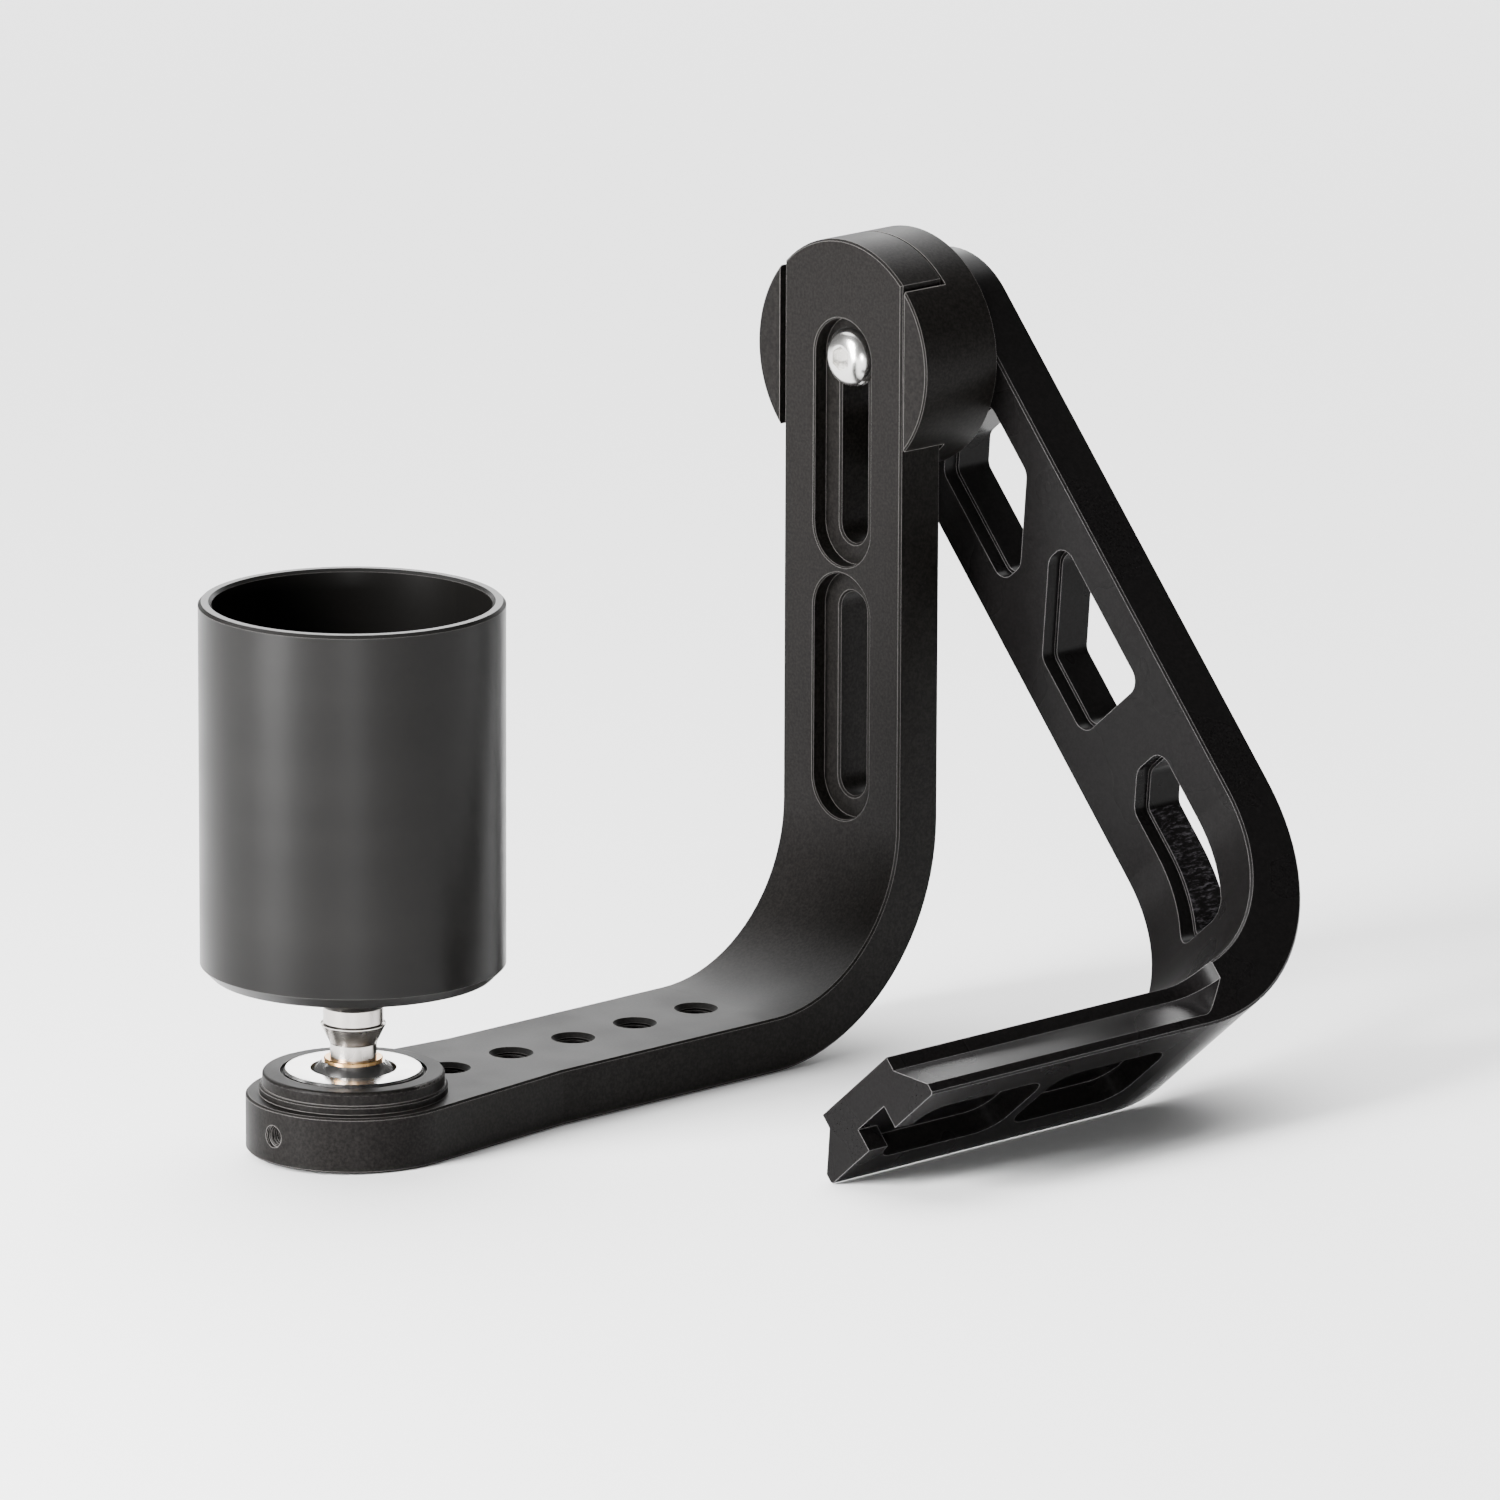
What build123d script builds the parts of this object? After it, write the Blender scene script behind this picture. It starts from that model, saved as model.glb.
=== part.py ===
"""Two-arm swivel mount: a slotted arm that carries a cup on a spherical bearing, and a dovetail arm
that swings about the hub clamped to it.

Millimetres, +Z up. The origin is on the underside of the cup arm's foot, at the middle one of its
five threaded holes. +X runs along the foot towards the upright, and the swivel axis is along X.
"""
import os
from math import acos, atan2, cos, hypot, pi, radians, sin, sqrt

from build123d import *

# ---------------------------------------------------------------- driving sizes
edge_chamfer = 0.5  # on the outline of both arms

# Cup arm
arm_width = 38.1
bend_radius = 38.1  # inside
cup_arm_thick = 12.7
hole_count = 5
hole_pitch = 19.05
tap_radius = 3.97  # tapping size of the threaded holes
hole_mouth_radius = 5.05  # on top of the foot
underside_mouth_radius = 4.4
hole_to_plate = 45.2  # nearest hole to the upright's front face
hub_height = 157.0  # swivel axis above the underside of the foot
cup_from_hole = 28.6  # cup axis to the nearest threaded hole
foot_end_margin = 3.0  # round end of the foot outside the step of the boss
flare_length = 46.0  # from the cup axis to where the foot starts to widen
slot_travel = 39.4  # how far the clamp screw can move in either slot
slot_clearance = 0.25  # each side of the clamp screw
recess_clearance = 2.1  # each side of its head
recess_depth = 3.8
recess_chamfer = 0.35
slot_chamfer = 0.5  # round the slots on the recess floor
slot_gap = 1.7  # web between the two recesses
boss_height = 4.9
boss_wall = 4.7  # round the bearing
boss_step_width = 0.7
boss_step_height = 1.9
boss_rounding = 0.8
step_chamfer = 0.4
race_ledge = 4.1  # floor left under the bearing
race_ledge_width = 2.6
race_relief = 0.75  # wider mouth round the bearing
race_relief_depth = 1.0
press_gap = 0.01  # between a ring and the seat it is pressed into
set_screw_radius = 2.5
set_screw_height = 6.6
set_screw_length = 4.0
set_screw_socket = 2.5
set_screw_socket_depth = 2.0
set_screw_tip_radius = 1.0
set_screw_tip = 1.2
set_screw_gap = 0.05

# Spherical bearing
race_radius = 15.6
race_width = 14.0
race_chamfer = 0.5
ball_radius = 11.15
ball_land = 0.95  # flat of the ball round the bush
liner_thick = 0.65
liner_half_width = 5.5
sphere_gap = 0.05  # running gap each side of the liner

# Stud and the bush it turns in
stud_radius = 5.0
stud_gap = 0.05
bush_wall = 0.95
bush_flange_width = 0.6
bush_flange_thick = 0.8
neck_step = 0.2  # each step is outside the stud
neck_length = 3.6
neck_flare = 0.15
neck_flare_length = 0.4
cone_length = 3.9
lip_step = 2.25
lip_thick = 0.6
collar_step = 1.7
collar_length = 3.53
spigot_length = 11.0
spigot_gap = 0.02
small_break = 0.2  # broken edge of the lip and of the bush flange
retainer_head_thick = 2.4
retainer_clear = 0.6  # head of the retaining screw above the ball's lower flat
retainer_shank_radius = 2.4
retainer_shank_length = 9.0
retainer_socket = 4.0
retainer_socket_depth = 1.5
retainer_head_inset = 0.15  # inside the outside of the bush

# Cup
cup_radius = 34.0
cup_wall = 3.0
cup_depth = 74.5  # inside, rim to floor
cup_floor = 10.0
cup_bottom_chamfer = 2.5
cup_rim_chamfer = 0.7
cup_boss_radius = 11.5
cup_boss_straight = 4.0
cup_boss_cone = 3.7
cup_boss_tip_step = 0.2  # outside the collar
cup_screw_recess_depth = 5.0
cup_washer_width = 3.75  # outside the head of its screw
cup_washer_thick = 1.6
cup_washer_gap = 0.2

# Button-head screws: clamp screw M8, cup and axle end screws M6
m8_radius = 4.0
m8_head_radius = 7.0
m8_head_height = 4.4
m8_socket = 5.0
m6_radius = 3.0
m6_head_radius = 5.25
m6_head_height = 3.3
m6_socket = 4.0
thread_gap = 0.1  # plain shanks stand a little clear of plain holes
screw_tip_room = 1.0  # hole beyond the tip of a screw
button_rim = 0.14  # upright rim, as a share of the head's height
button_crown = 0.45  # flat crown, as a share of the head's radius
button_shoulder = (0.82, 0.72)  # point of the dome between them, as shares of radius and height
button_socket_depth = 0.6  # as a share of the head's height
clamp_thread_length = 12.0
end_thread_length = 11.0

# Hub and axle
hub_radius = 27.4
hub_proud = 0.3  # front of the hub ahead of the front of the upright
hub_depth = 22.8
hub_chamfer = 0.4
slide_gap = 0.05  # sliding gap behind the upright
groove_side_gap = 1.15  # room each side of the upright
axle_radius = 7.5
axle_flange_margin = 3.2  # outside the circle of its screws
axle_flange_thick = 3.0
flange_screw_offset = 3.3  # centres outside the axle
flange_screw_count = 4
flange_screw_radius = 1.25
flange_screw_head_radius = 2.6
flange_screw_length = 6.5
flange_screw_socket = 2.0
flange_screw_socket_depth = 0.9
arm_gap = 0.6  # hub to dovetail arm
axle_end_inset = 0.3  # end of the axle inside the end washer's face

# Axle bearings
bearing_section = 4.5  # axle to the outside of the bearing
bearing_width = 5.0
bearing_sink = 0.6  # bearing faces below the arm's faces
bearing_lip = 1.0  # height of the shoulder between the two bearings
ring_wall = 1.25
bearing_ball_radius = 1.2
bearing_ball_count = 14
raceway_gap = 0.04
cage_half_thick = 0.25
cage_half_width = 1.6
cage_gap = 0.03
shield_thick = 0.3
shield_inset = 0.2
shield_gap = 0.2
end_washer_step = 0.25  # outside the inner ring
end_washer_thick = 1.6

# Dovetail arm
rest_swing = 40.5  # leg away from hanging straight down, in degrees
dovetail_arm_width = 41.3
dovetail_arm_thick = 13.5
dovetail_bend_radius = 39.3  # inside
dovetail_reach = 184.4  # swivel axis to the underside of the dovetail foot
dovetail_foot_end = 102.7  # end of the foot ahead of the upright's front face
dovetail_top_width = 26.2
dovetail_lip = 3.4  # upright lip above the 45 degree flank
dovetail_cutter_radius = 9.5
dovetail_runout = 16.3  # last place of the cutter's centre, ahead of the upright's front face
pocket_depth = 5.4
pocket_width = 22.8
pocket_corner = 6.0
pocket_starts = (5.7, 46.2)  # from the end of the foot
pocket_lengths = (37.0, 35.0)
channel_width = 10.6

# Windows of the leg: each is a rectangle with some corners cut at 45 degrees, in a shallow recess
window_corner = 3.0
window_step = 0.8  # recess wider than the window, all round
window_recess_depth = 3.8
wide_window_low = 10.5
wide_window_high = 11.2
narrow_window_half = 7.5
first_window = (23.0, 56.8)  # start and end below the swivel axis
first_window_cuts = (5.4, 15.2)  # upper low corner, lower high corner
second_window = (61.8, 97.6)
second_window_cut = 16.2
third_window = (114.1, 154.2)
third_window_cut = 6.4

# ---------------------------------------------------------------- places worked out from the sizes
half_width = arm_width / 2
boss_radius = race_radius + boss_wall
boss_step_radius = boss_radius + boss_step_width
foot_end_radius = boss_step_radius + foot_end_margin
ledge_bore_radius = race_radius - race_ledge_width
slot_width = 2 * (m8_radius + slot_clearance)
recess_width = 2 * (m8_head_radius + recess_clearance)
bush_radius = stud_radius + stud_gap + bush_wall
bush_flange_radius = bush_radius + bush_flange_width
ball_flat_radius = bush_radius + ball_land
neck_radius = stud_radius + neck_step
lip_radius = stud_radius + lip_step
collar_radius = stud_radius + collar_step
cup_boss_tip_radius = collar_radius + cup_boss_tip_step
cup_washer_radius = m6_head_radius + cup_washer_width
flange_screw_circle = axle_radius + flange_screw_offset
axle_flange_radius = flange_screw_circle + axle_flange_margin
flange_screw_cone_depth = flange_screw_head_radius - flange_screw_radius
bearing_radius = axle_radius + bearing_section
inner_ring_radius = axle_radius + ring_wall
outer_ring_bore = bearing_radius - ring_wall
end_washer_radius = inner_ring_radius + end_washer_step
half_dovetail_width = dovetail_arm_width / 2
foot_top = cup_arm_thick
row_half = (hole_count - 1) / 2 * hole_pitch
plate_x = row_half + hole_to_plate
cup_x = -row_half - cup_from_hole
boss_top = foot_top + boss_height
race_top = race_ledge + race_width
ball_z = race_ledge + race_width / 2
hub_front = plate_x - hub_proud
hub_rear = hub_front + hub_depth
groove_floor = plate_x + cup_arm_thick + slide_gap
arm2_front = hub_rear + arm_gap
arm2_rear = arm2_front + dovetail_arm_thick
upper_slot_top = hub_height
lower_slot_top = hub_height - slot_travel - recess_width - slot_gap

# Heights up the stud and the cup
ball_half_width = sqrt(ball_radius**2 - ball_flat_radius**2)
bush_top = ball_z + ball_half_width + bush_flange_thick
bush_bottom = ball_z - ball_half_width + retainer_head_thick + retainer_clear
stud_bottom = bush_bottom - stud_gap
neck_bottom = bush_top + stud_gap
cone_bottom = neck_bottom + neck_length
lip_bottom = cone_bottom + cone_length
collar_bottom = lip_bottom + lip_thick
collar_top = collar_bottom + collar_length
cup_bottom = collar_top + cup_boss_cone + cup_boss_straight
cup_floor_top = cup_bottom + cup_floor
cup_rim = cup_floor_top + cup_depth


# ---------------------------------------------------------------- helpers
def block(x0, x1, y0, y1, z0, z1):
    return Pos((x0 + x1) / 2, (y0 + y1) / 2, (z0 + z1) / 2) * Box(x1 - x0, y1 - y0, z1 - z0)


def x_rod(radius, x0, x1, y=0.0, z=0.0):
    return Pos((x0 + x1) / 2, y, z) * Rot(0, 90, 0) * Cylinder(radius, x1 - x0)


def z_rod(radius, z0, z1, x=0.0, y=0.0):
    return Pos(x, y, (z0 + z1) / 2) * Cylinder(radius, z1 - z0)


def y_rod(radius, y0, y1, x=0.0, z=0.0):
    return Pos(x, (y0 + y1) / 2, z) * Rot(90, 0, 0) * Cylinder(radius, y1 - y0)


def turned(points):
    """Solid turned about Z from an outline of (radius, height) points."""
    return revolve(Plane.XZ * make_face(Polyline(*points, close=True)), Axis.Z)


def facing_x(shape):
    """Turn a shape made along +Z so that its +Z points along -X."""
    return Rot(0, -90, 0) * shape


def hex_socket(across_flats, depth):
    """Hexagonal key socket, its mouth at Z = 0, going down."""
    hexagon = RegularPolygon(across_flats / sqrt(3), 6)
    return Pos(0, 0, -depth) * extrude(hexagon, depth + 1)


def button_screw(head_radius, head_height, shank_radius, shank_length, socket):
    """Button-head screw along Z: the seat of the head at Z = 0, the head above it."""
    rim = button_rim * head_height
    crown = button_crown * head_radius
    shoulder = (button_shoulder[0] * head_radius, button_shoulder[1] * head_height)
    dome = ThreePointArc((head_radius, rim), shoulder, (crown, head_height))
    edge = Polyline((crown, head_height), (0, head_height), (0, 0), (head_radius, 0), (head_radius, rim))
    head = revolve(Plane.XZ * make_face([dome, edge]), Axis.Z)
    shank = z_rod(shank_radius, -shank_length, 0)
    return head + shank - Pos(0, 0, head_height) * hex_socket(socket, button_socket_depth * head_height)


def bent_bar(front_x, thick, radius, top_z, inner_z, end_x, half):
    """L-shaped bar bent about Y: upright with its front at front_x, foot with its top at inner_z."""
    bend_x = front_x - radius
    bend_z = inner_z + radius
    outer = radius + thick
    upright = block(front_x, front_x + thick, -half, half, bend_z, top_z)
    foot = block(end_x, bend_x, -half, half, inner_z - thick, inner_z)
    ring = y_rod(outer, -half, half, bend_x, bend_z) - y_rod(radius, -half, half, bend_x, bend_z)
    corner = ring & block(bend_x, bend_x + outer, -half, half, inner_z - thick, bend_z)
    return upright + corner + foot


def break_outline(bar, thick):
    """Chamfer the long edges of a flat bar: not its bend lines, nor the short edges across it."""

    def across(edge):
        if edge.geom_type != GeomType.LINE:
            return False
        if abs((edge @ 1 - edge @ 0).Y) > 0.999 * edge.length:
            return True
        return abs(edge.length - thick) < 0.001

    return chamfer([edge for edge in bar.edges() if not across(edge)], edge_chamfer)


def slot_prism(width, travel, top_z, x0, x1):
    """Round-ended upright slot between two X planes; top_z is the centre of its upper end."""
    ends = [x_rod(width / 2, x0, x1, 0, z) for z in (top_z, top_z - travel)]
    return block(x0, x1, -width / 2, width / 2, top_z - travel, top_z) + ends[0] + ends[1]


# ---------------------------------------------------------------- cup arm
def foot_plan():
    """Outline of the foot seen from above: a straight bar that widens to a round end."""
    distance = hypot(flare_length, half_width)
    angle = atan2(half_width, flare_length) + acos(foot_end_radius / distance)
    touch_x = cup_x + foot_end_radius * cos(angle)
    touch_y = foot_end_radius * sin(angle)
    flare_x = cup_x + flare_length
    back = plate_x + cup_arm_thick + 1
    outline = Polyline(
        (touch_x, touch_y), (flare_x, half_width), (back, half_width),
        (back, -half_width), (flare_x, -half_width), (touch_x, -touch_y), close=True,
    )
    tall = hub_height + hub_radius + 1
    bar = Pos(0, 0, -1) * extrude(make_face(outline), tall + 1)
    return bar + z_rod(foot_end_radius, -1, tall, cup_x)


def mouth_edges(bar, x, width):
    """Edges in the plane X = x round the two slots or their recesses."""

    def in_mouth(edge):
        points = [edge @ 0, edge @ 0.5, edge @ 1]
        flush = max(abs(point.X - x) for point in points) < 0.001
        return flush and max(abs(point.Y) for point in points) < width / 2 + 0.001

    return [edge for edge in bar.edges() if in_mouth(edge)]


def make_cup_arm():
    top = hub_height + hub_radius
    end_x = cup_x - foot_end_radius
    bar = bent_bar(plate_x, cup_arm_thick, bend_radius, top, foot_top, end_x, foot_end_radius + 1)
    bar = bar & foot_plan()
    rear = plate_x + cup_arm_thick
    cap = block(plate_x - 1, rear + 1, -half_width - 1, half_width + 1, hub_height, top + 1)
    bar = bar - (cap - x_rod(hub_radius, plate_x - 2, rear + 2, 0, hub_height))
    bar = break_outline(bar, cup_arm_thick)

    # Raised ring round the bearing, on a low step
    step_top = foot_top + boss_step_height
    step = turned([
        (0, foot_top - 1), (boss_step_radius, foot_top - 1), (boss_step_radius, step_top - step_chamfer),
        (boss_step_radius - step_chamfer, step_top), (0, step_top),
    ])
    ring = z_rod(boss_radius, foot_top, boss_top)
    ring = fillet(ring.edges().filter_by(GeomType.CIRCLE).sort_by(Axis.Z)[-1], boss_rounding)
    bar = bar + Pos(cup_x, 0, 0) * (step + ring)

    # Seat of the bearing
    bar = bar - z_rod(race_radius + press_gap, race_ledge, boss_top + 1, cup_x)
    bar = bar - z_rod(race_radius + race_relief, boss_top - race_relief_depth, boss_top + 1, cup_x)
    bar = bar - z_rod(ledge_bore_radius, -1, race_ledge + 1, cup_x)
    foot_end = cup_x - foot_end_radius
    bar = bar - x_rod(set_screw_radius, foot_end - 1, cup_x - ledge_bore_radius, 0, set_screw_height)

    # Slots for the clamp screw
    for centre in (upper_slot_top, lower_slot_top):
        bar = bar - slot_prism(slot_width, slot_travel, centre, plate_x, plate_x + cup_arm_thick + 1)
        bar = bar - slot_prism(recess_width, slot_travel, centre, plate_x - 1, plate_x + recess_depth)
    bar = chamfer(mouth_edges(bar, plate_x, recess_width), recess_chamfer)
    bar = chamfer(mouth_edges(bar, plate_x + recess_depth, slot_width), slot_chamfer)

    # Threaded holes
    for index in range(hole_count):
        x = index * hole_pitch - row_half
        bar = bar - z_rod(tap_radius, -1, foot_top + 1, x)
        bar = bar - Pos(x, 0, foot_top) * hole_mouth(hole_mouth_radius)
        bar = bar - Pos(x, 0, 0) * Rot(180, 0, 0) * hole_mouth(underside_mouth_radius)
    return bar


def hole_mouth(radius):
    """45 degree mouth of a threaded hole, its wide end at Z = 0."""
    depth = radius - tap_radius
    return turned([(0, -depth), (tap_radius, -depth), (radius, 0), (radius, 1), (0, 1)])


def make_set_screw():
    """Cone-ended set screw that holds the bearing; it points at the bearing from the foot's end."""
    radius = set_screw_radius - set_screw_gap
    outline = [
        (0, 0), (set_screw_tip_radius, 0), (radius, set_screw_tip), (radius, set_screw_length),
        (0, set_screw_length),
    ]
    key = Pos(0, 0, set_screw_length) * hex_socket(set_screw_socket, set_screw_socket_depth)
    screw = turned(outline) - key
    return Pos(cup_x - race_radius, 0, set_screw_height) * facing_x(screw)


# ---------------------------------------------------------------- spherical bearing
def make_race():
    half = race_width / 2
    outline = [
        (0, -half), (race_radius - race_chamfer, -half), (race_radius, -half + race_chamfer),
        (race_radius, half - race_chamfer), (race_radius - race_chamfer, half), (0, half),
    ]
    seat = Sphere(ball_radius + liner_thick + 2 * sphere_gap)
    return Pos(cup_x, 0, ball_z) * (turned(outline) - seat)


def make_liner():
    inner = ball_radius + sphere_gap
    shell = Sphere(inner + liner_thick) - Sphere(inner)
    return Pos(cup_x, 0, ball_z) * (shell & z_rod(ball_radius * 2, -liner_half_width, liner_half_width))


def make_ball():
    half = ball_half_width
    ball = Sphere(ball_radius) & z_rod(ball_radius * 2, -half, half)
    return Pos(cup_x, 0, ball_z) * (ball - z_rod(bush_radius, -half - 1, half + 1))


# ---------------------------------------------------------------- stud, bush and retaining screw
def make_bush():
    bore = stud_radius + stud_gap
    flange_bottom = bush_top - bush_flange_thick
    outline = [
        (bore, bush_bottom), (bush_radius, bush_bottom), (bush_radius, flange_bottom),
        (bush_flange_radius, flange_bottom), (bush_flange_radius, bush_top - small_break),
        (bush_flange_radius - small_break, bush_top), (bore, bush_top),
    ]
    return Pos(cup_x, 0, 0) * turned(outline)


def make_stud():
    spigot_top = collar_top + spigot_length
    outline = [
        (0, stud_bottom), (stud_radius, stud_bottom), (stud_radius, neck_bottom), (neck_radius, neck_bottom),
        (neck_radius, cone_bottom - neck_flare_length), (neck_radius + neck_flare, cone_bottom),
        (lip_radius, lip_bottom), (lip_radius, lip_bottom + small_break),
        (collar_radius, collar_bottom), (collar_radius, collar_top),
        (stud_radius, collar_top), (stud_radius, spigot_top), (0, spigot_top),
    ]
    stud = turned(outline)
    retainer_top = stud_bottom + retainer_shank_length + screw_tip_room
    stud = stud - z_rod(retainer_shank_radius + thread_gap, stud_bottom - 1, retainer_top)
    stud = stud - z_rod(m6_radius + thread_gap, spigot_top - end_thread_length - 1, spigot_top + 1)
    return Pos(cup_x, 0, 0) * stud


def make_retainer():
    """Screw under the stud; its flat head is too wide for the bush."""
    head_bottom = stud_bottom - retainer_head_thick
    head = z_rod(bush_radius - retainer_head_inset, head_bottom, stud_bottom)
    shank = z_rod(retainer_shank_radius, stud_bottom, stud_bottom + retainer_shank_length)
    key = Pos(0, 0, head_bottom) * Rot(180, 0, 0) * hex_socket(retainer_socket, retainer_socket_depth)
    return Pos(cup_x, 0, 0) * (head + shank - key)


# ---------------------------------------------------------------- cup
def make_cup():
    bore = cup_radius - cup_wall
    boss_bottom = cup_bottom - cup_boss_straight
    tip = boss_bottom - cup_boss_cone
    outline = [
        (0, tip), (cup_boss_tip_radius, tip), (cup_boss_radius, boss_bottom), (cup_boss_radius, cup_bottom),
        (cup_radius - cup_bottom_chamfer, cup_bottom), (cup_radius, cup_bottom + cup_bottom_chamfer),
        (cup_radius, cup_rim - cup_rim_chamfer), (cup_radius - cup_rim_chamfer, cup_rim),
        (bore + cup_rim_chamfer, cup_rim), (bore, cup_rim - cup_rim_chamfer), (bore, cup_floor_top),
        (0, cup_floor_top),
    ]
    cup = turned(outline)
    recess_floor = cup_floor_top - cup_screw_recess_depth
    cup = cup - z_rod(cup_washer_radius + cup_washer_gap, recess_floor, cup_floor_top + 1)
    cup = cup - z_rod(m6_radius + thread_gap, tip - 1, recess_floor + 1)
    cup = cup - z_rod(stud_radius + spigot_gap, tip - 1, collar_top + spigot_length)
    return Pos(cup_x, 0, 0) * cup


def make_cup_washer():
    floor = cup_floor_top - cup_screw_recess_depth
    ring = z_rod(cup_washer_radius, floor, floor + cup_washer_thick, cup_x)
    return ring - z_rod(m6_radius + thread_gap, floor - 1, floor + cup_washer_thick + 1, cup_x)


def make_cup_screw():
    seat = cup_floor_top - cup_screw_recess_depth + cup_washer_thick
    return Pos(cup_x, 0, seat) * button_screw(
        m6_head_radius, m6_head_height, m6_radius, end_thread_length, m6_socket
    )


# ---------------------------------------------------------------- hub and axle
def make_hub():
    hub = x_rod(hub_radius, hub_front, hub_rear, 0, hub_height)
    hub = chamfer(hub.edges().filter_by(GeomType.CIRCLE), hub_chamfer)
    groove = half_width + groove_side_gap
    tall = hub_radius + 1
    hub = hub - block(hub_front - 1, groove_floor, -groove, groove, hub_height - tall, hub_height + tall)
    flange_rear = groove_floor + axle_flange_thick
    hub = hub - x_rod(axle_flange_radius + slide_gap, groove_floor - 1, flange_rear, 0, hub_height)
    hub = hub - x_rod(axle_radius + press_gap, groove_floor, hub_rear + 1, 0, hub_height)
    for y, z in flange_screw_places():
        tip = groove_floor + flange_screw_length + screw_tip_room
        hub = hub - x_rod(flange_screw_radius + thread_gap / 2, groove_floor, tip, y, z)
    return hub


def flange_screw_places():
    angles = [radians(45 + index * 360 / flange_screw_count) for index in range(flange_screw_count)]
    return [(flange_screw_circle * cos(a), hub_height + flange_screw_circle * sin(a)) for a in angles]


def flange_screw_cone(extra):
    """Countersunk head, mouth at Z = 0, going down; extra widens it."""
    head = flange_screw_head_radius + extra
    shank = flange_screw_radius + extra
    return turned([(0, 0), (head, 0), (shank, -flange_screw_cone_depth), (0, -flange_screw_cone_depth)])


def make_flange_screws():
    screws = []
    for y, z in flange_screw_places():
        shank = z_rod(flange_screw_radius, -flange_screw_length, -flange_screw_cone_depth)
        screw = flange_screw_cone(0) + shank
        screw = screw - hex_socket(flange_screw_socket, flange_screw_socket_depth)
        screws.append(Pos(groove_floor, y, z) * facing_x(screw))
    return Compound(children=screws)


axle_end = arm2_rear - bearing_sink - axle_end_inset


def make_axle():
    axle = x_rod(axle_flange_radius, groove_floor, groove_floor + axle_flange_thick, 0, hub_height)
    axle = axle + x_rod(axle_radius, groove_floor, axle_end, 0, hub_height)
    thread_end = groove_floor + clamp_thread_length
    axle = axle - x_rod(m8_radius + thread_gap, groove_floor - 1, thread_end, 0, hub_height)
    axle = axle - x_rod(m6_radius + thread_gap, axle_end - end_thread_length, axle_end + 1, 0, hub_height)
    for y, z in flange_screw_places():
        shank = z_rod(flange_screw_radius + slide_gap, -axle_flange_thick - 1, 0)
        axle = axle - Pos(groove_floor, y, z) * facing_x(flange_screw_cone(slide_gap) + shank)
    return axle


def make_clamp_screw():
    seat = plate_x + recess_depth - slide_gap
    length = groove_floor + clamp_thread_length - screw_tip_room - seat
    screw = button_screw(m8_head_radius, m8_head_height, m8_radius, length, m8_socket)
    return Pos(seat, 0, hub_height) * facing_x(screw)


def make_end_screw():
    seat = arm2_rear - bearing_sink + end_washer_thick
    screw = button_screw(m6_head_radius, m6_head_height, m6_radius, end_thread_length, m6_socket)
    return Pos(seat, 0, hub_height) * Rot(0, 90, 0) * screw


def make_end_washer():
    face = arm2_rear - bearing_sink
    ring = x_rod(end_washer_radius, face, face + end_washer_thick, 0, hub_height)
    return ring - x_rod(m6_radius + thread_gap, face - 1, face + end_washer_thick + 1, 0, hub_height)


# ---------------------------------------------------------------- axle bearings
front_bearing = arm2_front + bearing_sink
rear_bearing = arm2_rear - bearing_sink - bearing_width
pitch_radius = (inner_ring_radius + outer_ring_bore) / 2


def sleeve(outer, inner, x0, x1):
    return x_rod(outer, x0, x1, 0, hub_height) - x_rod(inner, x0 - 1, x1 + 1, 0, hub_height)


def raceway(x0):
    """Ring-shaped groove in which one bearing's balls run."""
    middle = Pos(x0 + bearing_width / 2, 0, hub_height) * Rot(0, 90, 0)
    return middle * Torus(pitch_radius, bearing_ball_radius + raceway_gap)


def bearing_rings(outer, inner):
    """The same ring in both bearings, with its raceway."""
    places = bearing_places()
    return Compound(children=[sleeve(outer, inner, x0, x0 + bearing_width) - raceway(x0) for x0 in places])


def make_inner_rings():
    return bearing_rings(inner_ring_radius, axle_radius + press_gap)


def make_outer_rings():
    return bearing_rings(bearing_radius, outer_ring_bore)


def bearing_places():
    return (front_bearing, rear_bearing)


def make_spacers():
    """Spacer between hub and front bearing, and the one between the two bearings."""
    bore = axle_radius + press_gap
    front = sleeve(inner_ring_radius, bore, hub_rear, front_bearing)
    middle = sleeve(inner_ring_radius, bore, front_bearing + bearing_width, rear_bearing)
    return front, middle


def ball_centres(x0):
    middle = x0 + bearing_width / 2
    step = 2 * pi / bearing_ball_count
    angles = [index * step for index in range(bearing_ball_count)]
    return [Pos(middle, pitch_radius * cos(a), hub_height + pitch_radius * sin(a)) for a in angles]


def make_balls():
    places = [place for x0 in bearing_places() for place in ball_centres(x0)]
    return Compound(children=[place * Sphere(bearing_ball_radius) for place in places])


def make_cages():
    cages = []
    for x0 in bearing_places():
        middle = x0 + bearing_width / 2
        cage = sleeve(
            pitch_radius + cage_half_thick, pitch_radius - cage_half_thick,
            middle - cage_half_width, middle + cage_half_width,
        )
        for place in ball_centres(x0):
            cage = cage - place * Sphere(bearing_ball_radius + cage_gap)
        cages.append(cage)
    return Compound(children=cages)


def make_shields():
    shields = []
    for x0 in bearing_places():
        for face in (x0 + shield_inset, x0 + bearing_width - shield_inset - shield_thick):
            shields.append(sleeve(outer_ring_bore, inner_ring_radius + shield_gap, face, face + shield_thick))
    return Compound(children=shields)


# ---------------------------------------------------------------- dovetail arm
dovetail_underside = hub_height - dovetail_reach
dovetail_top = dovetail_underside + dovetail_arm_thick
dovetail_end_x = plate_x - dovetail_foot_end


def dovetail_bar(thick, half):
    """The whole arm's bent bar, or a thinner layer of it behind its front and top faces."""
    top = hub_height + half_dovetail_width
    return bent_bar(arm2_front, thick, dovetail_bend_radius, top, dovetail_top, dovetail_end_x, half)


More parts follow.
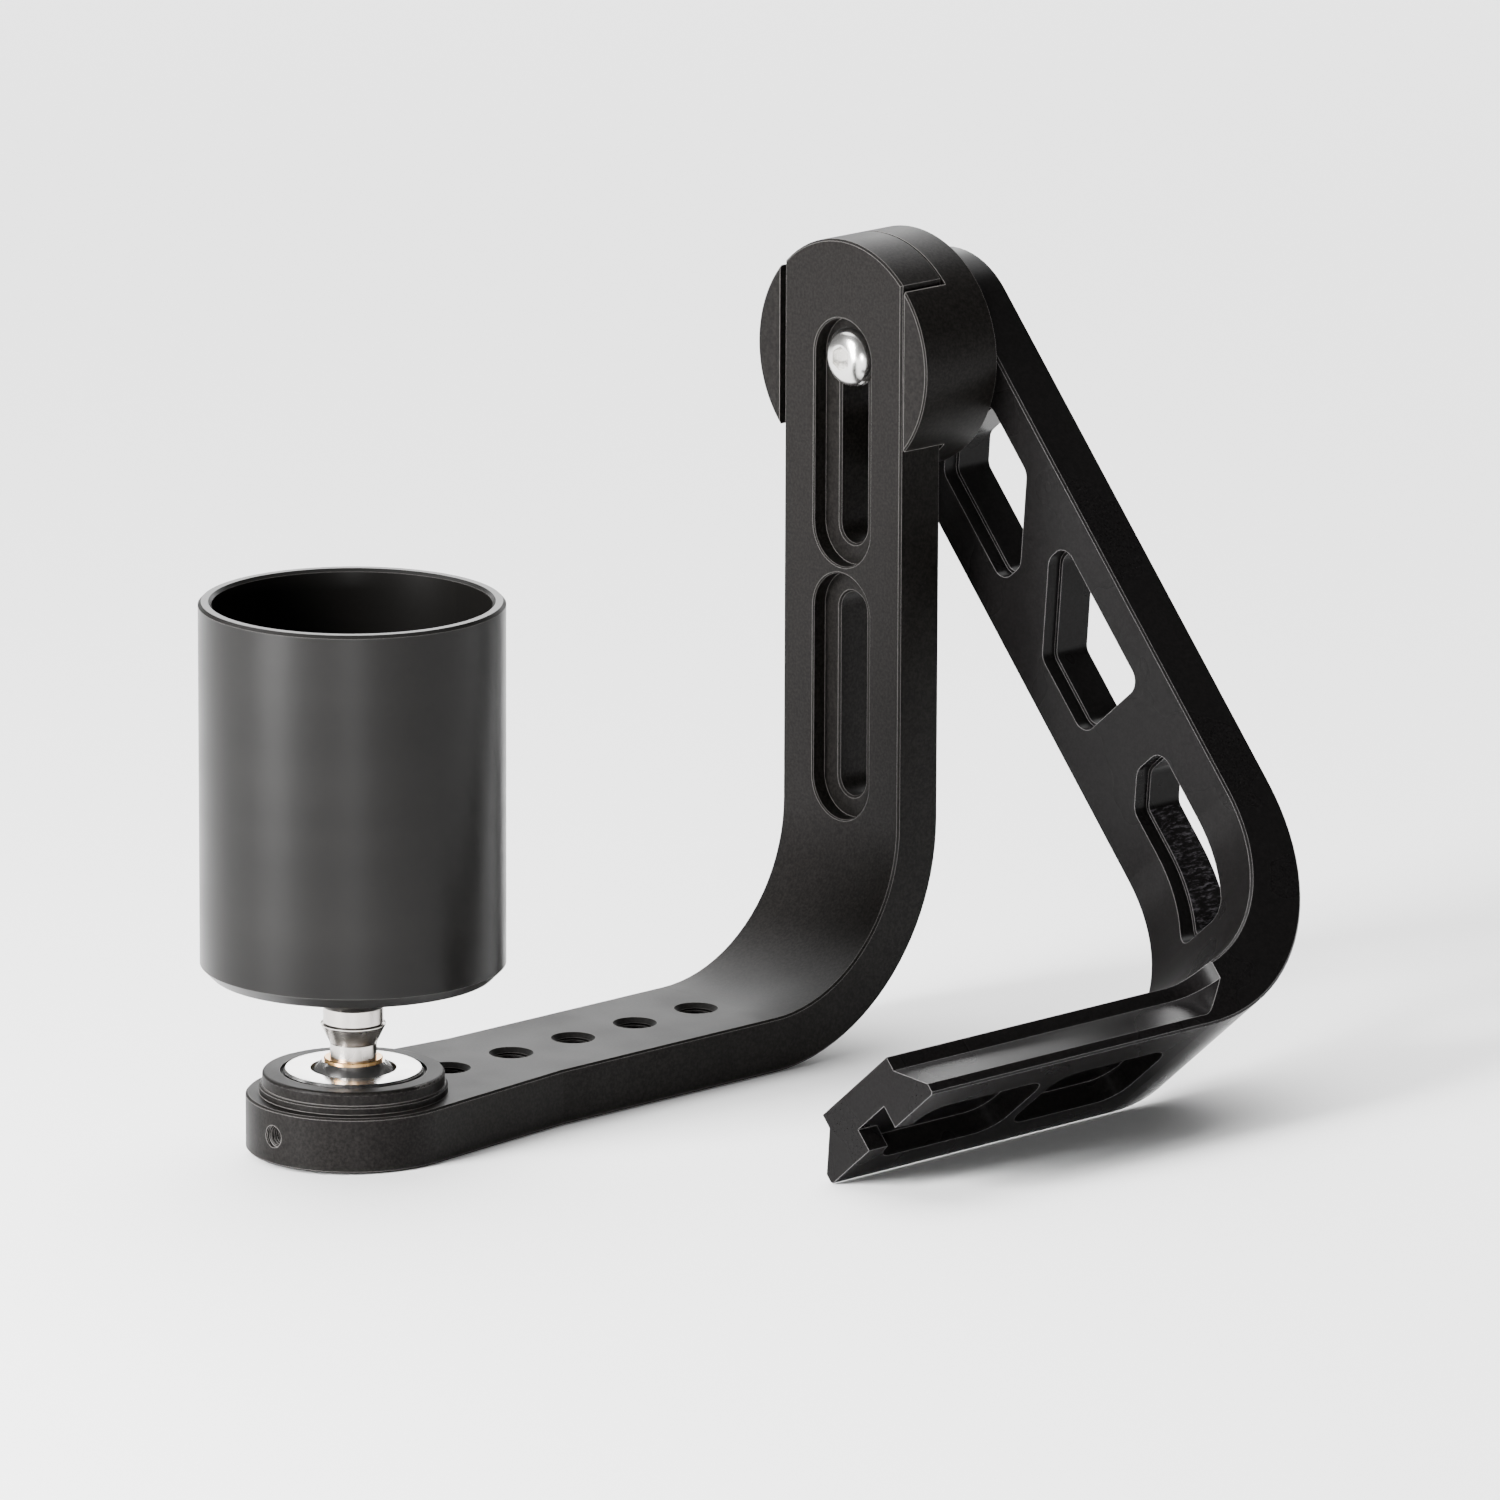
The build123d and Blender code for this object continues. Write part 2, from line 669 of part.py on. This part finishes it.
def window_outline(low, high, span, low_cut, high_cut):
    """Window seen along X, on the leg hanging straight down; low is its +Y side."""
    start = hub_height - span[0]
    end = hub_height - span[1]
    corners = [
        (-high, start), (-high, end + high_cut), (high_cut - high, end), (low, end),
        (low, start - low_cut), (low - low_cut, start),
    ]
    distinct = [point for point, following in zip(corners, corners[1:] + corners[:1]) if point != following]
    face = make_face(Polyline(*distinct, close=True))
    return fillet(face.vertices(), window_corner)


def window_outlines():
    low = wide_window_low
    high = wide_window_high
    half = narrow_window_half
    return [
        window_outline(low, high, first_window, *first_window_cuts),
        window_outline(low, high, second_window, second_window_cut, 0),
        window_outline(half, half, third_window, third_window_cut, 0),
    ]


def through_leg(outline):
    """Prism along X over the outline, from ahead of the bend to behind the leg."""
    ahead = arm2_front - dovetail_bend_radius
    return Pos(ahead, 0, 0) * extrude(Plane.YZ * outline, arm2_rear + 1 - ahead)


def dovetail_flank(side):
    """What is milled off one side of the foot: a lip, a 45 degree flank and the cutter's run-out."""
    drop = half_dovetail_width - dovetail_top_width / 2
    lip_z = dovetail_top - dovetail_lip
    over = dovetail_top + 1
    radius = dovetail_cutter_radius
    cutter = turned([(0, lip_z - radius), (radius, lip_z), (radius, over), (0, over)])
    inner_y = dovetail_top_width / 2
    outer_y = inner_y + drop + 1
    last_x = plate_x - dovetail_runout
    section = Polyline(
        (inner_y, over), (inner_y, lip_z), (outer_y, lip_z - drop - 1), (outer_y, over), close=True,
    )
    path = extrude(Plane.YZ * make_face(section), last_x - dovetail_end_x + 1)
    milled = Pos(last_x, inner_y + radius, 0) * cutter + Pos(dovetail_end_x - 1, 0, 0) * path
    return milled if side > 0 else mirror(milled, about=Plane.XZ)


def underside_cuts():
    """Round-cornered pockets in the underside, the first one open through the end of the foot."""
    floor = dovetail_underside + pocket_depth
    cuts = []
    for start, length in zip(pocket_starts, pocket_lengths):
        outline = RectangleRounded(length, pocket_width, pocket_corner)
        middle = dovetail_end_x + start + length / 2
        cuts.append(Pos(middle, 0, dovetail_underside - 1) * extrude(outline, pocket_depth + 1))
    half = channel_width / 2
    inside = dovetail_end_x + pocket_starts[0] + pocket_corner
    cuts.append(block(dovetail_end_x - 1, inside, -half, half, dovetail_underside - 1, floor))
    return cuts


def bearing_seats():
    """Seats of the two axle bearings, with a shoulder between them."""
    seat = bearing_radius + press_gap
    return [
        x_rod(seat, arm2_front - 1, front_bearing + bearing_width, 0, hub_height),
        x_rod(seat, rear_bearing, arm2_rear + 1, 0, hub_height),
        x_rod(bearing_radius - bearing_lip, arm2_front, arm2_rear, 0, hub_height),
    ]


def make_dovetail_arm():
    half = half_dovetail_width
    arm = dovetail_bar(dovetail_arm_thick, half)
    head = block(arm2_front - 1, arm2_rear + 1, -half - 1, half + 1, hub_height, hub_height + half + 1)
    arm = arm - (head - x_rod(half, arm2_front - 2, arm2_rear + 2, 0, hub_height))
    arm = break_outline(arm, dovetail_arm_thick)
    cuts = [dovetail_flank(1), dovetail_flank(-1)] + underside_cuts() + bearing_seats()
    layer = dovetail_bar(window_recess_depth, half)
    for outline in window_outlines():
        cuts.append(through_leg(outline))
        cuts.append(through_leg(offset(outline, window_step)) & layer)
    for cut in cuts:
        arm = arm - cut
    return Pos(0, 0, hub_height) * Rot(-rest_swing, 0, 0) * Pos(0, 0, -hub_height) * arm


# ---------------------------------------------------------------- write every piece
def main():
    front_spacer, middle_spacer = make_spacers()
    pieces = {
        "cup_arm": make_cup_arm(),
        "bearing_race": make_race(),
        "race_set_screw": make_set_screw(),
        "bearing_liner": make_liner(),
        "bearing_ball": make_ball(),
        "stud_bush": make_bush(),
        "stud": make_stud(),
        "stud_retainer": make_retainer(),
        "cup": make_cup(),
        "cup_washer": make_cup_washer(),
        "cup_screw": make_cup_screw(),
        "hub": make_hub(),
        "axle": make_axle(),
        "axle_flange_screws": make_flange_screws(),
        "clamp_screw": make_clamp_screw(),
        "front_spacer": front_spacer,
        "middle_spacer": middle_spacer,
        "bearing_inner_rings": make_inner_rings(),
        "axle_end_washer": make_end_washer(),
        "axle_end_screw": make_end_screw(),
        "axle_balls": make_balls(),
        "axle_cages": make_cages(),
        "bearing_outer_rings": make_outer_rings(),
        "bearing_shields": make_shields(),
        "dovetail_arm": make_dovetail_arm(),
    }
    os.makedirs("parts", exist_ok=True)
    for name, shape in pieces.items():
        export_step(shape, f"parts/{name}.step")
    print(f"{len(pieces)} nodes written")


main()
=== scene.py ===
"""Look of the two-arm swivel mount round its CAD pieces: materials, threads, floor, light and camera."""

import math

import bpy
from mathutils import Matrix, Vector


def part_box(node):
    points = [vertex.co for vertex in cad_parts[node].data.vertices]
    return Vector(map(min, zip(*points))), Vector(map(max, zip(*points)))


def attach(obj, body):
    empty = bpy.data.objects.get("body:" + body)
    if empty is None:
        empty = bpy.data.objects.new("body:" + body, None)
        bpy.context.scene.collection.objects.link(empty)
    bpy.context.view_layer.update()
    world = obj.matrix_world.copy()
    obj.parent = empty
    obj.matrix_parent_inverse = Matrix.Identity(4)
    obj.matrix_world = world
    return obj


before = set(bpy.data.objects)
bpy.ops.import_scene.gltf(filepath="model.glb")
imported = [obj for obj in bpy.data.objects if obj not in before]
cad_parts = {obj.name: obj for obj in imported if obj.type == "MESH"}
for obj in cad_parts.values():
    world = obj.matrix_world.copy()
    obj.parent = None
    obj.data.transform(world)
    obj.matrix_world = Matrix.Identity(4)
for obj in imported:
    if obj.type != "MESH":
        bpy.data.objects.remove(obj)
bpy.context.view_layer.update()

MM = 0.001

# The dovetail arm swings about the axle and rests this far from hanging straight down
axle_low, axle_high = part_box("axle")
HUB_Z = (axle_low.z + axle_high.z) / 2
SWING = math.radians(40.5)


# ---------------------------------------------------------------- material helpers
class Shader:
    """One material with a Principled shader and short calls for the nodes that feed it."""

    def __init__(self, name, colour, metallic, roughness, specular=0.5):
        self.material = bpy.data.materials.new(name)
        self.material.use_nodes = True
        self.tree = self.material.node_tree
        self.shader = next(n for n in self.tree.nodes if n.type == "BSDF_PRINCIPLED")
        self.set("Base Color", (*colour, 1.0))
        self.set("Metallic", metallic)
        self.set("Roughness", roughness)
        self.set("Specular IOR Level", specular)

    def set(self, socket, value):
        self.shader.inputs[socket].default_value = value

    def feed(self, socket, output):
        self.tree.links.new(output, self.shader.inputs[socket])

    def fed(self, socket):
        """The output that feeds a socket of the shader so far."""
        return self.shader.inputs[socket].links[0].from_socket

    def node(self, kind, settings=None, **inputs):
        """Add a node; an input is named, or numbered as i0, i1 and so on."""
        made = self.tree.nodes.new(kind)
        for key, value in (settings or {}).items():
            setattr(made, key, value)
        for key, value in inputs.items():
            numbered = key[0] == "i" and key[1:].isdigit()
            socket = made.inputs[int(key[1:])] if numbered else made.inputs[key]
            self.join(socket, value)
        return made

    def join(self, socket, value):
        if isinstance(value, bpy.types.NodeSocket):
            self.tree.links.new(value, socket)
        else:
            socket.default_value = value

    def place(self):
        """Place on the piece, in metres."""
        return self.node("ShaderNodeTexCoord").outputs["Object"]

    def noise(self, where, scale, detail=2.0, rough=0.5):
        made = self.node(
            "ShaderNodeTexNoise", None, Vector=where, Scale=scale, Detail=detail, Roughness=rough
        )
        return made.outputs["Fac"]

    def span(self, value, low, high, to_low, to_high):
        made = self.node(
            "ShaderNodeMapRange", {"clamp": True}, i0=value, i1=low, i2=high, i3=to_low, i4=to_high
        )
        return made.outputs["Result"]

    def maths(self, operation, a, b):
        return self.node("ShaderNodeMath", {"operation": operation}, i0=a, i1=b).outputs[0]

    def axis(self, vector, name):
        return self.node("ShaderNodeSeparateXYZ", None, Vector=vector).outputs[name]

    def stretched(self, where, scale):
        made = self.node("ShaderNodeMapping", {"vector_type": "POINT"}, Vector=where, Scale=scale)
        return made.outputs["Vector"]

    def blend(self, fac, a, b):
        made = self.node("ShaderNodeMix", {"data_type": "RGBA"}, i0=fac)
        for index, colour in ((6, a), (7, b)):
            plain = isinstance(colour, tuple)
            self.join(made.inputs[index], (*colour, 1.0) if plain else colour)
        return made.outputs[2]

    def bumps(self, height, distance, normal=None):
        made = self.node("ShaderNodeBump", None, Height=height, Distance=distance, Strength=1.0)
        if normal is not None:
            self.tree.links.new(normal, made.inputs["Normal"])
        return made.outputs["Normal"]


def painted_edge_highlights(shader, width, colour):
    """Painted highlight: lighten the base colour where the surface turns over an edge, standing in for
    light glinting on the chamfers.
    """
    rounded = shader.node("ShaderNodeBevel", {"samples": 6}, Radius=width)
    flat = shader.node("ShaderNodeNewGeometry").outputs["True Normal"]
    alike = shader.node(
        "ShaderNodeVectorMath", {"operation": "DOT_PRODUCT"}, i0=rounded.outputs["Normal"], i1=flat
    )
    # mask of the painted edge highlight: 1 where the bevelled normal turns away from the flat one
    edge = shader.span(alike.outputs["Value"], 0.995, 0.90, 0.0, 1.0)
    shader.feed("Base Color", shader.blend(edge, shader.fed("Base Color"), colour))


# Wall on the +Y side of the leg's third window, seen with the leg hanging straight down
WALL_Y = 7.5 * MM
WALL_ROOM = 0.25 * MM
WALL_TOP = -121.0 * MM  # above the swivel axis
WALL_BOTTOM = -153.0 * MM
WALL_FRONT = 106.9 * MM


def window_wall(shader):
    """1 on the roughly milled wall of the third window, 0 elsewhere."""
    place = shader.place()
    down = shader.node("ShaderNodeMapping", {"vector_type": "POINT"}, Vector=place, Location=(0, 0, -HUB_Z))
    turned = shader.node(
        "ShaderNodeVectorRotate", {"rotation_type": "X_AXIS"}, Vector=down.outputs["Vector"], Angle=SWING
    )
    across = shader.axis(turned.outputs["Vector"], "Y")
    reach = shader.axis(turned.outputs["Vector"], "Z")
    near = shader.maths("COMPARE", across, WALL_Y)
    near.node.inputs[2].default_value = WALL_ROOM
    below = shader.maths("LESS_THAN", reach, WALL_TOP)
    above = shader.maths("GREATER_THAN", reach, WALL_BOTTOM)
    inside = shader.maths("GREATER_THAN", shader.axis(place, "X"), WALL_FRONT)
    here = shader.maths("MULTIPLY", inside, near)
    return shader.maths("MULTIPLY", here, shader.maths("MULTIPLY", below, above))


# ---------------------------------------------------------------- materials
def blasted(name, dark, light, roughness, specular, grain_height=0.012 * MM):
    """Matt coating over bead-blasted metal, with a fine grain."""
    s = Shader(name, dark, 0.0, roughness, specular)
    place = s.place()
    grain = s.noise(place, 1500.0, 3.0, 0.65)
    s.feed("Base Color", s.blend(s.span(grain, 0.38, 0.66, 0.0, 1.0), dark, light))
    cloud = s.noise(place, 45.0, 2.0)
    s.feed("Roughness", s.span(cloud, 0.3, 0.7, roughness - 0.04, roughness + 0.05))
    s.feed("Normal", s.bumps(s.noise(place, 2600.0, 2.0), grain_height))
    return s


def make_arm_black():
    s = blasted("arm_black", (0.0022, 0.0020, 0.0018), (0.0078, 0.0070, 0.0064), 0.44, 0.06)
    # painted highlight along the edges, lighter than the coating
    painted_edge_highlights(s, 0.30 * MM, (0.11, 0.104, 0.10))
    return s


def make_dovetail_black():
    """Glossier than the cup arm, with milling marks on one window wall."""
    dark = (0.0028, 0.0026, 0.0026)
    light = (0.0052, 0.0048, 0.0048)
    s = blasted("dovetail_black", dark, light, 0.28, 0.05, 0.004 * MM)
    wall = window_wall(s)
    marks = s.noise(s.stretched(s.place(), (420.0, 1500.0, 1500.0)), 1.0, 3.0, 0.7)
    chatter = s.span(marks, 0.5, 0.68, 0.0, 1.0)
    milled = s.blend(s.maths("MULTIPLY", wall, chatter), s.fed("Base Color"), (0.045, 0.042, 0.046))
    s.feed("Base Color", milled)
    # painted highlight along the edges, lighter than the coating
    painted_edge_highlights(s, 0.30 * MM, (0.10, 0.096, 0.096))
    height = s.maths("MULTIPLY", wall, marks)
    s.feed("Normal", s.bumps(height, 0.10 * MM, s.fed("Normal")))
    return s


def make_cup_black():
    """Turned and anodised: fine rings round the cup and a few faint broader bands."""
    s = Shader("cup_black", (0.014, 0.0135, 0.013), 0.0, 0.27, 0.13)
    place = s.place()
    rings = s.noise(s.stretched(place, (6.0, 6.0, 5200.0)), 1.0, 3.0, 0.6)
    bands = s.noise(s.stretched(place, (2.0, 2.0, 62.0)), 1.0, 1.0)
    s.feed("Roughness", s.span(bands, 0.3, 0.7, 0.27, 0.34))
    tone = s.span(bands, 0.35, 0.65, 0.0, 1.0)
    s.feed("Base Color", s.blend(tone, (0.003, 0.0028, 0.0026), (0.0048, 0.0045, 0.0042)))
    # painted highlight along the cup's edges
    painted_edge_highlights(s, 0.25 * MM, (0.06, 0.057, 0.055))
    s.feed("Normal", s.bumps(rings, 0.004 * MM))
    return s


def polished(name, colour, roughness, rings):
    """Polished metal with the faintest turning marks across the given axis."""
    s = Shader(name, colour, 1.0, roughness)
    place = s.place()
    lines = s.noise(s.stretched(place, rings), 1.0, 2.0)
    cloud = s.noise(place, 180.0, 2.0)
    s.feed("Roughness", s.span(cloud, 0.3, 0.7, roughness * 0.8, roughness * 1.3))
    s.feed("Normal", s.bumps(lines, 0.002 * MM))
    return s


ALONG_Z = (8.0, 8.0, 4200.0)
ALONG_X = (4200.0, 8.0, 8.0)

arm_black = make_arm_black()
dovetail_black = make_dovetail_black()
cup_black = make_cup_black()
race_steel = polished("race_steel", (0.66, 0.65, 0.64), 0.19, ALONG_Z)
stud_steel = polished("stud_steel", (0.52, 0.49, 0.46), 0.22, ALONG_Z)
screw_steel = polished("screw_steel", (0.70, 0.69, 0.67), 0.22, ALONG_X)
turned_steel = polished("turned_steel", (0.55, 0.55, 0.56), 0.30, ALONG_X)
bronze = polished("bronze", (0.66, 0.40, 0.17), 0.24, ALONG_Z)
black_steel = blasted("black_oxide", (0.02, 0.02, 0.022), (0.05, 0.05, 0.053), 0.42, 0.5)
liner_weave = blasted("liner_weave", (0.13, 0.10, 0.07), (0.22, 0.18, 0.13), 0.6, 0.4)

LOOKS = {
    "cup_arm": arm_black, "hub": arm_black, "dovetail_arm": dovetail_black, "cup": cup_black,
    "bearing_race": race_steel, "bearing_ball": race_steel, "stud": stud_steel, "stud_bush": bronze,
    "bearing_liner": liner_weave, "race_set_screw": black_steel, "stud_retainer": black_steel,
    "cup_washer": stud_steel, "cup_screw": stud_steel, "clamp_screw": screw_steel,
    "axle": turned_steel, "axle_flange_screws": black_steel, "front_spacer": turned_steel,
    "middle_spacer": turned_steel, "bearing_inner_rings": race_steel, "bearing_outer_rings": race_steel,
    "axle_end_washer": screw_steel, "axle_end_screw": screw_steel, "axle_balls": race_steel,
    "axle_cages": bronze, "bearing_shields": turned_steel,
}
for node, look in LOOKS.items():
    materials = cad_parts[node].data.materials
    for index in range(len(materials)):
        materials[index] = look.material


# ---------------------------------------------------------------- threads
THREAD_STEPS = 40  # round one turn
STEP_ROOM = 0.01  # so that rounding in a measured length doesn't drop a whole step
THREAD_BITE = 0.02 * MM  # root of the ridge inside the hole's wall
ROOT_HALF = 0.46  # half widths of the ridge, as shares of the pitch
CREST_HALF = 0.07


def thread(name, radius, depth, pitch, length, place):
    """Internal thread in the cup arm: a helical ridge standing in from a hole's wall, along local +Z."""
    count = int(THREAD_STEPS * length / pitch + STEP_ROOM)
    root = radius + THREAD_BITE
    vertices = []
    for index in range(count + 1):
        angle = 2 * math.pi * index / THREAD_STEPS
        z = length * index / count
        grown = min(1.0, index / THREAD_STEPS, (count - index) / THREAD_STEPS)
        crest = root - depth * grown
        for r, share in ((root, -ROOT_HALF), (crest, -CREST_HALF), (crest, CREST_HALF), (root, ROOT_HALF)):
            vertices.append((r * math.cos(angle), r * math.sin(angle), z + share * pitch * grown))
    faces = []
    for index in range(count):
        a = 4 * index
        for corner in range(4):
            following = (corner + 1) % 4
            faces.append((a + corner, a + following, a + 4 + following, a + 4 + corner))
    last = 4 * count
    faces += [(3, 2, 1, 0), (last, last + 1, last + 2, last + 3)]
    mesh = bpy.data.meshes.new(name)
    mesh.from_pydata(vertices, [], faces)
    mesh.validate()
    mesh.materials.append(arm_black.material)
    piece = bpy.data.objects.new(name, mesh)
    bpy.context.scene.collection.objects.link(piece)
    piece.matrix_world = place
    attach(piece, "cup_arm_body")


FOOT_TOP = 12.7 * MM
HOLE_MOUTH = 1.08 * MM
HOLE_PITCH = 19.05 * MM
TAP_RADIUS = 3.97 * MM
FOOT_THREAD_PITCH = 1.5875 * MM
for number in range(1, 6):
    thread(
        f"foot_thread_{number}", TAP_RADIUS, 0.55 * MM, FOOT_THREAD_PITCH, FOOT_TOP - 2 * HOLE_MOUTH,
        Matrix.Translation(((number - 3) * HOLE_PITCH, 0, HOLE_MOUTH)),
    )

# The set screw's hole, open from the end of the foot to the screw
arm_low, arm_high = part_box("cup_arm")
screw_low, screw_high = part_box("race_set_screw")
thread_start = arm_low.x + 0.4 * MM
thread_end = screw_low.x - 0.3 * MM
screw_z = (screw_low.z + screw_high.z) / 2
thread(
    "set_screw_thread", 2.5 * MM, 0.42 * MM, 0.8 * MM, thread_end - thread_start,
    Matrix.Translation((thread_start, 0, screw_z)) @ Matrix.Rotation(math.radians(90), 4, "Y"),
)

# ---------------------------------------------------------------- floor and light
# The mount stands on the near edge of the cup arm's foot and on the low edge of the dovetail foot
REST_Y = -24.0 * MM
FLOOR_GAP = 0.02 * MM
TIP = math.radians(2.42)
FLOOR_HALF = 4.0
AIM = Vector((0.0, -0.03, 0.08))


def make_floor():
    s = Shader("floor_white", (0.95, 0.95, 0.95), 0.0, 0.85, 0.1)
    tone = s.noise(s.place(), 3.0, 1.0)
    s.feed("Base Color", s.blend(tone, (0.925, 0.925, 0.925), (0.935, 0.935, 0.935)))
    corners = [(-FLOOR_HALF, -FLOOR_HALF, 0), (FLOOR_HALF, -FLOOR_HALF, 0)]
    corners += [(FLOOR_HALF, FLOOR_HALF, 0), (-FLOOR_HALF, FLOOR_HALF, 0)]
    mesh = bpy.data.meshes.new("floor")
    mesh.from_pydata(corners, [], [(0, 1, 2, 3)])
    mesh.materials.append(s.material)
    floor = bpy.data.objects.new("floor", mesh)
    bpy.context.scene.collection.objects.link(floor)
    floor.matrix_world = Matrix.Translation((0, REST_Y, -FLOOR_GAP)) @ Matrix.Rotation(-TIP, 4, "X")


def add_lamp(light):
    lamp = bpy.data.objects.new(light.name, light)
    bpy.context.scene.collection.objects.link(lamp)
    return lamp


def soft_box(name, direction, distance, width, height, power):
    """Rectangular light shining at the middle of the mount from the given direction."""
    towards = Vector(direction).normalized()
    light = bpy.data.lights.new(name, "AREA")
    light.shape = "RECTANGLE"
    light.size = width
    light.size_y = height
    light.energy = power
    lamp = add_lamp(light)
    lamp.location = AIM + towards * distance
    lamp.rotation_euler = towards.to_track_quat("Z", "Y").to_euler()


make_floor()
soft_box("key_left", (-0.98, 0.19, 0.26), 1.2, 0.42, 1.2, 105.0)
soft_box("chamfer_front", (-0.70, -0.71, 0.06), 1.9, 0.14, 0.14, 30.0)
soft_box("back_wall", (0.64, 0.72, 0.36), 2.6, 2.4, 0.8, 50.0)
soft_box("top", (0.25, 0.35, 1.0), 1.5, 0.8, 0.8, 8.0)

overhead = bpy.data.lights.new("overhead", "SUN")
overhead.energy = 5.5
overhead.angle = math.radians(70)
add_lamp(overhead).rotation_euler = (math.radians(-24), math.radians(14), 0)

world = bpy.data.worlds.new("studio")
world.use_nodes = True
sky = world.node_tree.nodes["Background"]
sky.inputs["Color"].default_value = (1.0, 1.0, 1.0, 1.0)
sky.inputs["Strength"].default_value = 0.15
bpy.context.scene.world = world

# ---------------------------------------------------------------- camera
AZIMUTH = math.radians(-43.726)
ELEVATION = math.radians(13.843)
ROLL = math.radians(0.222)
CAMERA_PLACE = Vector((-2.07805, -2.22984, 0.83062))

back = Vector((
    math.sin(AZIMUTH) * math.cos(ELEVATION), -math.cos(AZIMUTH) * math.cos(ELEVATION), math.sin(ELEVATION)
))
right = Vector((math.cos(AZIMUTH), math.sin(AZIMUTH), 0.0))
up = back.cross(right)
rolled_right = right * math.cos(ROLL) + up * math.sin(ROLL)
rolled_up = up * math.cos(ROLL) - right * math.sin(ROLL)
camera_data = bpy.data.cameras.new("camera")
camera_data.sensor_width = 36.0
camera_data.lens = 336.02
camera_data.clip_end = 50.0
camera = bpy.data.objects.new("camera", camera_data)
bpy.context.scene.collection.objects.link(camera)
turned = Matrix((rolled_right, rolled_up, back)).transposed().to_4x4()
camera.matrix_world = Matrix.Translation(CAMERA_PLACE) @ turned
bpy.context.scene.camera = camera
